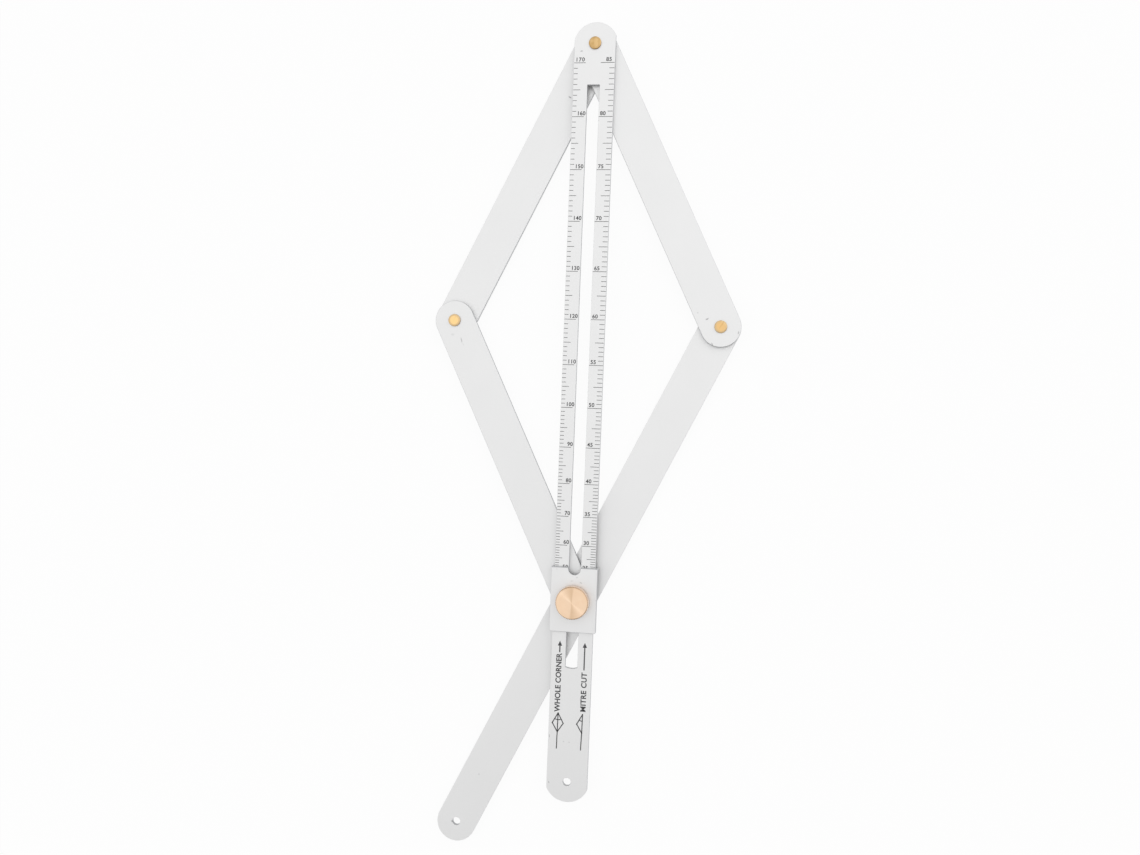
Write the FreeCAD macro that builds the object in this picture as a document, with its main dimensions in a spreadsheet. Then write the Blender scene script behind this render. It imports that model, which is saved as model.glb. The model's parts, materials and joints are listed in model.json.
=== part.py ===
import FreeCAD, Part
import math
import os

import Sketcher
from FreeCAD import Rotation, Vector

# Angle finder with arms: a slotted ruler, four flat arms in a rhombus and a clamped slider.
# It lies on its back. +Z is up, +Y runs along the ruler to the top pivot, and the origin is at
# the middle of the footprint, on the surface that the object lies on.

doc = FreeCAD.newDocument("angle_finder")

# Driving sizes in millimetres, angles in degrees
DRIVING_SIZES = [
    ("link_length", 150, "pivot to pivot, each side of the rhombus"),
    ("half_angle", 25.85, "ruler to upper arm, as it lies"),
    ("arm_width", 19.5, "all four arms"),
    ("arm_thickness", 2, "all four arms"),
    ("long_arm_tail", 127.6, "clamp screw to the long arm's hang hole"),
    ("hang_hole_diameter", 4, "ruler and long arm"),
    ("ruler_width", 20, "ruler"),
    ("ruler_thickness", 2, "ruler"),
    ("ruler_top_reach", 10, "top pivot to the ruler's top end"),
    ("ruler_bottom_reach", 9.8, "hang hole to the ruler's lower end"),
    ("top_round_shift", 0.4, "top end's round sits this far right of the middle"),
    ("top_round_excess", 0.2, "top end's radius past the ruler's far side"),
    ("bottom_round_excess", 1, "lower end's radius over half the ruler's width"),
    ("slot_start", 20, "top pivot to the slot's square top end"),
    ("slot_overrun", 3, "slot past the straightened rhombus"),
    ("slot_end_bulge", 0.6, "slot's lower end, deeper in the middle"),
    ("hang_hole_below_slot", 55.4, "slot's lower end to the ruler's hang hole"),
    ("rivet_diameter", 4, "shank of the three rivets"),
    ("rivet_head_lip", 1, "head's edge past the shank"),
    ("rivet_head_height", 0.8, "three rivets"),
    ("rivet_edge", 0.15, "bevel round a rivet's head and tail"),
    ("rivet_tail_lip", 0.5, "peened tail's edge past the shank"),
    ("rivet_tail_height", 1, "peened tail at the back"),
    ("burr_washer_rim", 1.7, "ring's width, under a rivet's tail"),
    ("burr_washer_thickness", 0.6, "under a rivet's tail"),
    ("spacer_rim", 3, "ring's width, friction washers on the rivets"),
    ("spacer_thickness", 0.2, "all friction washers"),
    ("pivot_clearance", 0.05, "radial, each hole on its rivet or bush"),
    ("open_pivot_clearance", 0.1, "radial, lower left arm on the guide bush"),
    ("screw_diameter", 4, "clamp screw"),
    ("screw_head_lip", 2.5, "head's edge past the shank"),
    ("screw_head_height", 1.2, "clamp screw"),
    ("screw_head_edge", 0.3, "bevel round the screw's head and its point"),
    ("screw_slot_width", 1.2, "screwdriver slot"),
    ("screw_slot_depth", 0.6, "screwdriver slot"),
    ("screw_point_gap", 0.4, "screw's point to the end of the knob's thread"),
    ("thread_clearance", 0.05, "radial, knob, washers and bush on the screw"),
    ("bush_wall", 0.85, "guide bush, between the screw and the slot"),
    ("bush_end_gap", 0.1, "guide bush to the ruler's top face and the back washer"),
    ("slot_clearance", 0.1, "guide bush to each side of the slot"),
    ("back_washer_rim", 3.45, "ring's width, under the screw's head"),
    ("back_washer_thickness", 0.4, "under the screw's head"),
    ("clamp_spacer_rim", 2.5, "ring's width, friction washers on the guide bush"),
    ("slider_above", 16.5, "clamp screw to the reading edge"),
    ("slider_below", 15, "clamp screw to the slider's lower edge"),
    ("slider_thickness", 1.5, "slider's plate"),
    ("flange_thickness", 1.1, "slider's sides, along the ruler's edges"),
    ("flange_lift", 0.2, "slider's sides above the ruler's back face"),
    ("slide_clearance", 0.1, "slider's plate over the ruler"),
    ("side_clearance", 0.15, "slider's sides to the ruler's edges"),
    ("notch_depth", 3.7, "straight and round of the notch in the reading edge"),
    ("reading_bevel", 0.5, "bevel along the reading edge"),
    ("knob_washer_rim", 2.5, "ring's width, between the knob and the slider"),
    ("knob_washer_thickness", 0.4, "between the knob and the slider"),
    ("knob_diameter", 16, "thumb nut"),
    ("knob_height", 4.8, "thumb nut"),
    ("knob_edge", 0.4, "bevels round the thumb nut"),
    ("knob_roof", 1.3, "metal over the blind thread"),
    ("knurl_count", 60, "grooves round the thumb nut"),
    ("knurl_depth", 0.25, "each groove"),
    ("knurl_width", 0.6, "each groove, at the rim"),
]

sizes = doc.addObject("Spreadsheet::Sheet", "sizes")
for row, (alias, value, note) in enumerate(DRIVING_SIZES, start=1):
    sizes.set(f"A{row}", alias)
    sizes.set(f"B{row}", str(value))
    sizes.set(f"C{row}", note)
    sizes.setAlias(f"B{row}", alias)
doc.recompute()


def size(expression):
    # The value in millimetres or degrees that an expression on the sheet has now
    return float(sizes.evalExpression(expression))


# Heights of the faces that the layers lie on, from the surface up
LOW_ARMS = "(sizes.rivet_tail_height + sizes.burr_washer_thickness)"
HIGH_ARMS = f"({LOW_ARMS} + sizes.arm_thickness + sizes.spacer_thickness)"
RULER_BACK = f"({HIGH_ARMS} + sizes.arm_thickness + sizes.spacer_thickness)"
RULER_TOP = f"({RULER_BACK} + sizes.ruler_thickness)"
SLIDER_PLATE = f"({RULER_TOP} + sizes.slide_clearance)"
KNOB_WASHER = f"({SLIDER_PLATE} + sizes.slider_thickness)"
KNOB = f"({KNOB_WASHER} + sizes.knob_washer_thickness)"
BACK_WASHER = f"({LOW_ARMS} - sizes.back_washer_thickness)"
SCREW = f"({BACK_WASHER} - sizes.screw_head_height)"
BUSH = f"({LOW_ARMS} + sizes.bush_end_gap)"

# Places of the pivots in the plane
HALF_SPREAD = "(sizes.link_length * sin(sizes.half_angle))"
LINK_DROP = "(sizes.link_length * cos(sizes.half_angle))"
LONG_ARM_REACH = (
    f"(2 * {LINK_DROP} + sizes.long_arm_tail * cos(sizes.half_angle) + sizes.arm_width / 2)"
)
TOP_Y = f"(({LONG_ARM_REACH} - sizes.ruler_top_reach) / 2)"
TOP_PIVOT = ("0", TOP_Y)
RIGHT_PIVOT = (HALF_SPREAD, f"{TOP_Y} - {LINK_DROP}")
LEFT_PIVOT = (f"-{HALF_SPREAD}", f"{TOP_Y} - {LINK_DROP}")
LOWER_PIVOT = ("0", f"{TOP_Y} - 2 * {LINK_DROP}")

# Sizes that follow from what a piece fits
SLOT_END = "(2 * sizes.link_length + sizes.slot_overrun)"
HANG_HOLE_DROP = f"({SLOT_END} + sizes.hang_hole_below_slot)"
SCREW_HOLE = "(sizes.screw_diameter + 2 * sizes.thread_clearance)"
BUSH_DIAMETER = f"({SCREW_HOLE} + 2 * sizes.bush_wall)"
SLOT_WIDTH = f"({BUSH_DIAMETER} + 2 * sizes.slot_clearance)"
BUSH_HOLE = f"({BUSH_DIAMETER} + 2 * sizes.pivot_clearance)"
OPEN_BUSH_HOLE = f"({BUSH_DIAMETER} + 2 * sizes.open_pivot_clearance)"
RIVET_HOLE = "(sizes.rivet_diameter + 2 * sizes.pivot_clearance)"
CHANNEL_WIDTH = "(sizes.ruler_width + 2 * sizes.side_clearance)"
SLIDER_WIDTH = f"({CHANNEL_WIDTH} + 2 * sizes.flange_thickness)"
CHANNEL_DEPTH = "(sizes.ruler_thickness + sizes.slide_clearance - sizes.flange_lift)"

parts = []


def new_part(name, pivot, level, turn="0"):
    # A body whose local origin is on its pivot's axis, at its own lowest face
    body = doc.addObject("PartDesign::Body", name)
    body.Label = name
    body.Placement.Rotation = Rotation(Vector(0, 0, 1), 0)
    body.setExpression("Placement.Base.x", pivot[0])
    body.setExpression("Placement.Base.y", pivot[1])
    body.setExpression("Placement.Base.z", level)
    body.setExpression("Placement.Rotation.Angle", turn)
    parts.append(body)
    return body


def new_sketch(body, name, plane="XY_Plane"):
    sketch = body.newObject("Sketcher::SketchObject", f"{body.Name}_{name}")
    origin_plane = next(item for item in body.Origin.OriginFeatures if item.Role == plane)
    sketch.AttachmentSupport = [(origin_plane, "")]
    sketch.MapMode = "FlatFace"
    return sketch


def hold(sketch, kind, *places_and_expression):
    # A dimension of the sketch that is bound to the sheet
    *places, expression = places_and_expression
    index = sketch.addConstraint(Sketcher.Constraint(kind, *places, size(expression)))
    sketch.setExpression(f"Constraints[{index}]", expression)


def add_circle(sketch, x, y, diameter):
    centre = Vector(size(x), size(y), 0)
    circle = sketch.addGeometry(Part.Circle(centre, Vector(0, 0, 1), size(diameter) / 2), False)
    hold(sketch, "DistanceX", -1, 1, circle, 3, x)
    hold(sketch, "DistanceY", -1, 1, circle, 3, y)
    hold(sketch, "Diameter", circle, diameter)
    return circle


def add_polygon(sketch, corners):
    # A closed outline of straight lines through corners, each a pair of expressions
    points = [Vector(size(x), size(y), 0) for x, y in corners]
    lines = [
        sketch.addGeometry(Part.LineSegment(start, end), False)
        for start, end in zip(points, points[1:] + points[:1])
    ]
    for line, following in zip(lines, lines[1:] + lines[:1]):
        sketch.addConstraint(Sketcher.Constraint("Coincident", line, 2, following, 1))
    for line, (x, y) in zip(lines, corners):
        hold(sketch, "DistanceX", -1, 1, line, 1, x)
        hold(sketch, "DistanceY", -1, 1, line, 1, y)
    return lines


def add_arc(sketch, centre, start, end):
    # An arc that runs counter-clockwise from start to end
    radius = start.distanceToPoint(centre)
    angles = [math.atan2(point.y - centre.y, point.x - centre.x) for point in (start, end)]
    circle = Part.Circle(centre, Vector(0, 0, 1), radius)
    return sketch.addGeometry(Part.ArcOfCircle(circle, angles[0], angles[1]), False)


def pad(body, sketch, length):
    feature = body.newObject("PartDesign::Pad", f"{sketch.Name}_pad")
    feature.Profile = sketch
    feature.setExpression("Length", length)
    doc.recompute()
    return feature


def pocket(body, sketch, depth=None):
    # A cut upwards from the body's lowest face, right through where no depth is given
    volume = body.Shape.Volume
    feature = body.newObject("PartDesign::Pocket", f"{sketch.Name}_pocket")
    feature.Profile = sketch
    feature.Reversed = True
    if depth is None:
        feature.Type = "ThroughAll"
    else:
        feature.setExpression("Length", depth)
    doc.recompute()
    if body.Shape.Volume >= volume:
        raise RuntimeError(f"{feature.Name} cuts nothing")
    return feature


def turn_profile(body, corners):
    # A solid turned about the body's own Z axis; a corner is its radius and height
    sketch = new_sketch(body, "profile", "XZ_Plane")
    add_polygon(sketch, corners)
    feature = body.newObject("PartDesign::Revolution", f"{body.Name}_turned")
    feature.Profile = sketch
    feature.ReferenceAxis = (sketch, ["V_Axis"])
    feature.Angle = 360
    doc.recompute()
    return feature


def make_ring(name, pivot, level, hole, rim, thickness):
    # A washer, spacer or bush: its hole's diameter, its width and its height
    body = new_part(name, pivot, level)
    sketch = new_sketch(body, "ring")
    add_circle(sketch, "0", "0", f"{hole} + 2 * {rim}")
    add_circle(sketch, "0", "0", hole)
    pad(body, sketch, thickness)


def make_arm(name, pivot, level, turn, reach, holes):
    # A flat bar with full round ends, from its pivot down its own Y axis; a hole is its
    # distance from the pivot and its diameter
    body = new_part(name, pivot, level, turn)
    sketch = new_sketch(body, "outline")
    half = size("sizes.arm_width / 2")
    length = size(reach)
    top, bottom = Vector(0, 0, 0), Vector(0, -length, 0)
    side = Vector(half, 0, 0)
    upper_end = add_arc(sketch, top, top + side, top - side)
    left_edge = sketch.addGeometry(Part.LineSegment(top - side, bottom - side), False)
    lower_end = add_arc(sketch, bottom, bottom - side, bottom + side)
    right_edge = sketch.addGeometry(Part.LineSegment(bottom + side, top + side), False)
    outline = [upper_end, left_edge, lower_end, right_edge]
    for edge, following in zip(outline, outline[1:] + outline[:1]):
        sketch.addConstraint(Sketcher.Constraint("Tangent", edge, 2, following, 1))
    sketch.addConstraint(Sketcher.Constraint("Coincident", upper_end, 3, -1, 1))
    sketch.addConstraint(Sketcher.Constraint("PointOnObject", lower_end, 3, -2))
    sketch.addConstraint(Sketcher.Constraint("Vertical", left_edge))
    hold(sketch, "Radius", upper_end, "sizes.arm_width / 2")
    hold(sketch, "DistanceY", lower_end, 3, upper_end, 3, reach)
    for drop, diameter in holes:
        add_circle(sketch, "0", f"-{drop}", diameter)
    pad(body, sketch, "sizes.arm_thickness")


def make_rivet(name, pivot, grip_top):
    # Head, shank and peened tail in one; the tail's face lies on the surface
    body = new_part(name, pivot, "0")
    shank = "sizes.rivet_diameter / 2"
    head = f"{shank} + sizes.rivet_head_lip"
    tail = f"{shank} + sizes.rivet_tail_lip"
    head_top = f"{grip_top} + sizes.rivet_head_height"
    turn_profile(body, [
        ("0", "0"),
        (f"{tail} - sizes.rivet_edge", "0"),
        (tail, "sizes.rivet_edge"),
        (tail, "sizes.rivet_tail_height"),
        (shank, "sizes.rivet_tail_height"),
        (shank, grip_top),
        (head, grip_top),
        (head, f"{head_top} - sizes.rivet_edge"),
        (f"{head} - sizes.rivet_edge", head_top),
        ("0", head_top),
    ])


def make_burr_washer(name, pivot):
    make_ring(name, pivot, "sizes.rivet_tail_height", RIVET_HOLE, "sizes.burr_washer_rim",
              "sizes.burr_washer_thickness")


def make_rivet_spacer(name, pivot, under_face):
    # It lies against the back of the plate above it
    make_ring(name, pivot, f"{under_face} - sizes.spacer_thickness", RIVET_HOLE,
              "sizes.spacer_rim", "sizes.spacer_thickness")


def make_ruler():
    body = new_part("ruler", TOP_PIVOT, RULER_BACK)
    sketch = new_sketch(body, "outline")
    half = "sizes.ruler_width / 2"
    top_radius = f"({half} + sizes.top_round_shift + sizes.top_round_excess)"
    bottom_radius = f"({half} + sizes.bottom_round_excess)"
    top_centre_y = f"(sizes.ruler_top_reach - {top_radius})"
    top_centre = Vector(size("sizes.top_round_shift"), size(top_centre_y), 0)
    bottom_centre_y = f"({bottom_radius} - {HANG_HOLE_DROP} - sizes.ruler_bottom_reach)"
    bottom_centre = Vector(0, size(bottom_centre_y), 0)

    def corner(x, centre, radius, way):
        # Where a side of the ruler meets the round of an end
        return Vector(x, centre.y + way * math.sqrt(size(radius) ** 2 - (x - centre.x) ** 2), 0)

    right, left = size(half), -size(half)
    top_right = corner(right, top_centre, top_radius, 1)
    top_left = corner(left, top_centre, top_radius, 1)
    bottom_left = corner(left, bottom_centre, bottom_radius, -1)
    bottom_right = corner(right, bottom_centre, bottom_radius, -1)
    right_edge = sketch.addGeometry(Part.LineSegment(bottom_right, top_right), False)
    top_end = add_arc(sketch, top_centre, top_right, top_left)
    left_edge = sketch.addGeometry(Part.LineSegment(top_left, bottom_left), False)
    bottom_end = add_arc(sketch, bottom_centre, bottom_left, bottom_right)
    outline = [right_edge, top_end, left_edge, bottom_end]
    for edge, following in zip(outline, outline[1:] + outline[:1]):
        sketch.addConstraint(Sketcher.Constraint("Coincident", edge, 2, following, 1))
    sketch.addConstraint(Sketcher.Constraint("Vertical", right_edge))
    sketch.addConstraint(Sketcher.Constraint("Vertical", left_edge))
    hold(sketch, "DistanceX", -1, 1, right_edge, 1, half)
    hold(sketch, "DistanceX", left_edge, 1, -1, 1, half)
    hold(sketch, "Radius", top_end, top_radius)
    hold(sketch, "DistanceX", -1, 1, top_end, 3, "sizes.top_round_shift")
    hold(sketch, "DistanceY", -1, 1, top_end, 3, top_centre_y)
    hold(sketch, "Radius", bottom_end, bottom_radius)
    sketch.addConstraint(Sketcher.Constraint("PointOnObject", bottom_end, 3, -2))
    hold(sketch, "DistanceY", -1, 1, bottom_end, 3, bottom_centre_y)
    add_circle(sketch, "0", "0", RIVET_HOLE)
    add_circle(sketch, "0", f"-{HANG_HOLE_DROP}", "sizes.hang_hole_diameter")
    pad(body, sketch, "sizes.ruler_thickness")

    # The slot: a square top end and a slightly bulging lower end
    slot = new_sketch(body, "slot")
    slot_half = f"{SLOT_WIDTH} / 2"
    bulge_radius = f"(({slot_half}) ^ 2 / sizes.slot_end_bulge + sizes.slot_end_bulge) / 2"
    slot_bottom = f"(-{SLOT_END} + sizes.slot_end_bulge)"
    x, top, bottom = size(slot_half), -size("sizes.slot_start"), size(slot_bottom)
    slot_right = slot.addGeometry(Part.LineSegment(Vector(x, bottom, 0), Vector(x, top, 0)), False)
    slot_top = slot.addGeometry(Part.LineSegment(Vector(x, top, 0), Vector(-x, top, 0)), False)
    slot_left = slot.addGeometry(Part.LineSegment(Vector(-x, top, 0), Vector(-x, bottom, 0)), False)
    bulge_centre = Vector(0, -size(SLOT_END) + size(bulge_radius), 0)
    slot_round = add_arc(slot, bulge_centre, Vector(-x, bottom, 0), Vector(x, bottom, 0))
    outline = [slot_right, slot_top, slot_left, slot_round]
    for edge, following in zip(outline, outline[1:] + outline[:1]):
        slot.addConstraint(Sketcher.Constraint("Coincident", edge, 2, following, 1))
    slot.addConstraint(Sketcher.Constraint("Vertical", slot_right))
    slot.addConstraint(Sketcher.Constraint("Horizontal", slot_top))
    slot.addConstraint(Sketcher.Constraint("Vertical", slot_left))
    hold(slot, "DistanceX", -1, 1, slot_right, 1, slot_half)
    hold(slot, "DistanceX", slot_left, 1, -1, 1, slot_half)
    hold(slot, "DistanceY", slot_top, 1, -1, 1, "sizes.slot_start")
    hold(slot, "DistanceY", -1, 1, slot_right, 1, slot_bottom)
    slot.addConstraint(Sketcher.Constraint("PointOnObject", slot_round, 3, -2))
    hold(slot, "Radius", slot_round, bulge_radius)
    pocket(body, slot)


def is_reading_edge(body, edge, height, reach):
    # The long straight edge where the plate's top face meets its front face, in the body's frame
    middle = body.Placement.inverse().multVec(edge.BoundBox.Center)
    closeness = 0.01
    near_place = abs(middle.z - height) < closeness and abs(middle.y - reach) < closeness
    return near_place and edge.BoundBox.XLength > size("sizes.ruler_width")


def make_slider():
    # A channel over the ruler; its local origin is on the screw's axis, at its sides' lower edge
    body = new_part("slider", LOWER_PIVOT, f"{RULER_BACK} + sizes.flange_lift")
    half = f"{SLIDER_WIDTH} / 2"
    inner = f"{CHANNEL_WIDTH} / 2"
    block = new_sketch(body, "block")
    add_polygon(block, [
        (f"-{half}", "-sizes.slider_below"),
        (half, "-sizes.slider_below"),
        (half, "sizes.slider_above"),
        (f"-{half}", "sizes.slider_above"),
    ])
    add_circle(block, "0", "0", SCREW_HOLE)
    pad(body, block, f"{CHANNEL_DEPTH} + sizes.slider_thickness")

    channel = new_sketch(body, "channel")
    beyond = "sizes.slider_thickness"
    add_polygon(channel, [
        (f"-{inner}", f"-sizes.slider_below - {beyond}"),
        (inner, f"-sizes.slider_below - {beyond}"),
        (inner, f"sizes.slider_above + {beyond}"),
        (f"-{inner}", f"sizes.slider_above + {beyond}"),
    ])
    pocket(body, channel, CHANNEL_DEPTH)

    # The bevel along the reading edge, cut before the notch so that the notch stays sharp
    plate_top = f"({CHANNEL_DEPTH} + sizes.slider_thickness)"
    block_and_channel = body.Tip
    volume = body.Shape.Volume
    edge_name = next(
        f"Edge{number}"
        for number, edge in enumerate(body.Shape.Edges, start=1)
        if is_reading_edge(body, edge, size(plate_top), size("sizes.slider_above"))
    )
    bevel = body.newObject("PartDesign::Chamfer", "slider_bevel")
    bevel.Base = (block_and_channel, [edge_name])
    bevel.setExpression("Size", "sizes.reading_bevel")
    doc.recompute()
    if body.Shape.Volume >= volume:
        raise RuntimeError("the bevel cuts nothing")

    # The notch: straight sides from the reading edge to a half round
    notch = new_sketch(body, "notch")
    radius = f"{SLOT_WIDTH} / 2"
    centre_y = f"(sizes.slider_above - sizes.notch_depth + {radius})"
    open_y = f"(sizes.slider_above + {beyond})"
    x, middle, top = size(radius), size(centre_y), size(open_y)
    right_side = notch.addGeometry(Part.LineSegment(Vector(x, middle, 0), Vector(x, top, 0)), False)
    mouth = notch.addGeometry(Part.LineSegment(Vector(x, top, 0), Vector(-x, top, 0)), False)
    left_side = notch.addGeometry(Part.LineSegment(Vector(-x, top, 0), Vector(-x, middle, 0)), False)
    round_end = add_arc(notch, Vector(0, middle, 0), Vector(-x, middle, 0), Vector(x, middle, 0))
    notch.addConstraint(Sketcher.Constraint("Coincident", right_side, 2, mouth, 1))
    notch.addConstraint(Sketcher.Constraint("Coincident", mouth, 2, left_side, 1))
    notch.addConstraint(Sketcher.Constraint("Tangent", left_side, 2, round_end, 1))
    notch.addConstraint(Sketcher.Constraint("Tangent", round_end, 2, right_side, 1))
    notch.addConstraint(Sketcher.Constraint("Horizontal", mouth))
    notch.addConstraint(Sketcher.Constraint("Vertical", left_side))
    notch.addConstraint(Sketcher.Constraint("PointOnObject", round_end, 3, -2))
    hold(notch, "Radius", round_end, radius)
    hold(notch, "DistanceY", -1, 1, round_end, 3, centre_y)
    hold(notch, "DistanceY", -1, 1, mouth, 1, open_y)
    pocket(body, notch)


def make_clamp_screw():
    body = new_part("clamp_screw", LOWER_PIVOT, SCREW)
    shank = "sizes.screw_diameter / 2"
    head = f"({shank} + sizes.screw_head_lip)"
    thread_end = f"({KNOB} - {SCREW} + sizes.knob_height - sizes.knob_roof)"
    point = f"({thread_end} - sizes.screw_point_gap)"
    turn_profile(body, [
        ("0", "0"),
        (f"{head} - sizes.screw_head_edge", "0"),
        (head, "sizes.screw_head_edge"),
        (head, "sizes.screw_head_height"),
        (shank, "sizes.screw_head_height"),
        (shank, f"{point} - sizes.screw_head_edge"),
        (f"{shank} - sizes.screw_head_edge", point),
        ("0", point),
    ])
    slot = new_sketch(body, "driver_slot")
    half = "sizes.screw_slot_width / 2"
    add_polygon(slot, [
        (f"-{head}", f"-{half}"),
        (head, f"-{half}"),
        (head, half),
        (f"-{head}", half),
    ])
    pocket(body, slot, "sizes.screw_slot_depth")


def make_clamp_knob():
    body = new_part("clamp_knob", LOWER_PIVOT, KNOB)
    rim = "sizes.knob_diameter / 2"
    bore = f"{SCREW_HOLE} / 2"
    thread_depth = "(sizes.knob_height - sizes.knob_roof)"
    turn_profile(body, [
        (bore, "0"),
        (f"{rim} - sizes.knob_edge", "0"),
        (rim, "sizes.knob_edge"),
        (rim, "sizes.knob_height - sizes.knob_edge"),
        (f"{rim} - sizes.knob_edge", "sizes.knob_height"),
        ("0", "sizes.knob_height"),
        ("0", thread_depth),
        (bore, thread_depth),
    ])
    # A groove's V is drawn twice as deep as it cuts, so that it opens past the rim
    groove = new_sketch(body, "groove")
    add_polygon(groove, [
        (f"{rim} - sizes.knurl_depth", "0"),
        (f"{rim} + sizes.knurl_depth", "-sizes.knurl_width"),
        (f"{rim} + sizes.knurl_depth", "sizes.knurl_width"),
    ])
    cut = pocket(body, groove)
    knurl = body.newObject("PartDesign::PolarPattern", "clamp_knob_knurl")
    knurl.Originals = [cut]
    knurl.Axis = (groove, ["N_Axis"])
    knurl.Angle = 360
    knurl.setExpression("Occurrences", "sizes.knurl_count")
    body.Tip = knurl
    doc.recompute()


# The ruler and what its rivet holds
make_ruler()
make_rivet("top_rivet", TOP_PIVOT, RULER_TOP)
make_burr_washer("top_burr_washer", TOP_PIVOT)
make_rivet_spacer("top_upper_spacer", TOP_PIVOT, RULER_BACK)
make_rivet_spacer("top_lower_spacer", TOP_PIVOT, HIGH_ARMS)

# The four arms; the two that share a layer lie on opposite sides of the rhombus
LINK_HOLES = [("0", RIVET_HOLE), ("sizes.link_length", RIVET_HOLE)]
make_arm("upper_right_arm", TOP_PIVOT, HIGH_ARMS, "sizes.half_angle", "sizes.link_length", LINK_HOLES)
make_arm("upper_left_arm", TOP_PIVOT, LOW_ARMS, "-sizes.half_angle", "sizes.link_length", LINK_HOLES)
make_arm("lower_left_arm", LEFT_PIVOT, HIGH_ARMS, "sizes.half_angle", "sizes.link_length",
         [("0", RIVET_HOLE), ("sizes.link_length", OPEN_BUSH_HOLE)])
LONG_ARM_LENGTH = "(sizes.link_length + sizes.long_arm_tail)"
make_arm("long_arm", RIGHT_PIVOT, LOW_ARMS, "-sizes.half_angle", LONG_ARM_LENGTH,
         [("0", RIVET_HOLE), ("sizes.link_length", BUSH_HOLE),
          (LONG_ARM_LENGTH, "sizes.hang_hole_diameter")])

# The two side rivets, each through a low and a high arm
for side, pivot in (("right", RIGHT_PIVOT), ("left", LEFT_PIVOT)):
    make_rivet(f"{side}_rivet", pivot, f"{HIGH_ARMS} + sizes.arm_thickness")
    make_burr_washer(f"{side}_burr_washer", pivot)
    make_rivet_spacer(f"{side}_spacer", pivot, HIGH_ARMS)

# The clamp: screw and bush through both lower arms and the slot, slider and knob on top
make_clamp_screw()
make_ring("back_washer", LOWER_PIVOT, BACK_WASHER, SCREW_HOLE, "sizes.back_washer_rim",
          "sizes.back_washer_thickness")
make_ring("guide_bush", LOWER_PIVOT, BUSH, SCREW_HOLE, "sizes.bush_wall",
          f"{RULER_TOP} - {BUSH} - sizes.bush_end_gap")
for name, under_face in (("arm_spacer", HIGH_ARMS), ("slider_spacer", RULER_BACK)):
    make_ring(name, LOWER_PIVOT, f"{under_face} - sizes.spacer_thickness", OPEN_BUSH_HOLE,
              "sizes.clamp_spacer_rim", "sizes.spacer_thickness")
make_slider()
make_ring("knob_washer", LOWER_PIVOT, KNOB_WASHER, SCREW_HOLE, "sizes.knob_washer_rim",
          "sizes.knob_washer_thickness")
make_clamp_knob()

# Every object is checked before anything is written
doc.recompute()
for item in doc.Objects:
    if "Invalid" in item.State or "Error" in item.State:
        raise RuntimeError(f"{item.Name} did not compute: {item.State}")
for body in parts:
    if body.Shape.isNull() or not body.Shape.isValid() or len(body.Shape.Solids) != 1:
        raise RuntimeError(f"{body.Label} is not one valid solid")

os.makedirs("parts", exist_ok=True)
for body in parts:
    body.Shape.exportStep(f"parts/{body.Label}.step")
print(f"{len(parts)} pieces written")
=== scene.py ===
import json
import math
import random
import bmesh
import bpy
from mathutils import Matrix, Vector


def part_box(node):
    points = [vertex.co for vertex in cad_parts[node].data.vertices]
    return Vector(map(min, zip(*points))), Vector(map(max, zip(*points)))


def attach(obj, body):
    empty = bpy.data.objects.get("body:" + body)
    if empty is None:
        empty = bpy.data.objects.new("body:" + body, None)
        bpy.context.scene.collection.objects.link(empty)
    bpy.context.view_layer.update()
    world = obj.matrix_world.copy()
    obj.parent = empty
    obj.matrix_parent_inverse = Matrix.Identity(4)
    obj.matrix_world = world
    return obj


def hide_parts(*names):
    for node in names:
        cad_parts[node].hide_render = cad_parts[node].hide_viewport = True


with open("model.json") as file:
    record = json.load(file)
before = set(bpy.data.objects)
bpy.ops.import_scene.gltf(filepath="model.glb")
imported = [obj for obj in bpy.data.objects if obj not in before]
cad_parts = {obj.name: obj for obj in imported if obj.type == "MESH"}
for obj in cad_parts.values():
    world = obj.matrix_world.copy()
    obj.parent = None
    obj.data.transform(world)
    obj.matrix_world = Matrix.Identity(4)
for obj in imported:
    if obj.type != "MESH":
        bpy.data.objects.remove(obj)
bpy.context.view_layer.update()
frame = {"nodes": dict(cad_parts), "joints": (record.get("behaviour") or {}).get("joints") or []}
nodes = frame["nodes"]
mm = 0.001
print("frame loaded,", len(nodes), "nodes")


# a colour as it looks on a screen, 0 to 255
def tone(red, green, blue):
    return (*[((c / 255 + 0.055) / 1.055) ** 2.4 for c in (red, green, blue)], 1.0)


# a value in a node tree, and maths written with it adds the Math nodes
class Wire:
    def __init__(self, kit, socket):
        self.kit = kit
        self.socket = socket

    def __add__(self, other):
        return self.kit.maths("ADD", self, other)

    def __radd__(self, other):
        return self.kit.maths("ADD", other, self)

    def __sub__(self, other):
        return self.kit.maths("SUBTRACT", self, other)

    def __rsub__(self, other):
        return self.kit.maths("SUBTRACT", other, self)

    def __mul__(self, other):
        return self.kit.maths("MULTIPLY", self, other)

    def __rmul__(self, other):
        return self.kit.maths("MULTIPLY", other, self)

    def __truediv__(self, other):
        return self.kit.maths("DIVIDE", self, other)

    def __rtruediv__(self, other):
        return self.kit.maths("DIVIDE", other, self)

    def __pow__(self, other):
        return self.kit.maths("POWER", self, other)

    def __rpow__(self, other):
        return self.kit.maths("POWER", other, self)

    def angleFrom(self, other):
        return self.kit.maths("ARCTAN2", self, other)

    def clipped(self):
        return self.kit.node("ShaderNodeClamp", {}, {"Value": self})

    # 0 up to an edge, then rising to 1 at this slope
    def past(self, edge, slope):
        return ((self - edge) * slope).clipped()

    # a pattern of 0 to 1 as a change about 0, this large from end to end
    def swing(self, amount):
        return (self - 0.5) * amount


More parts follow.
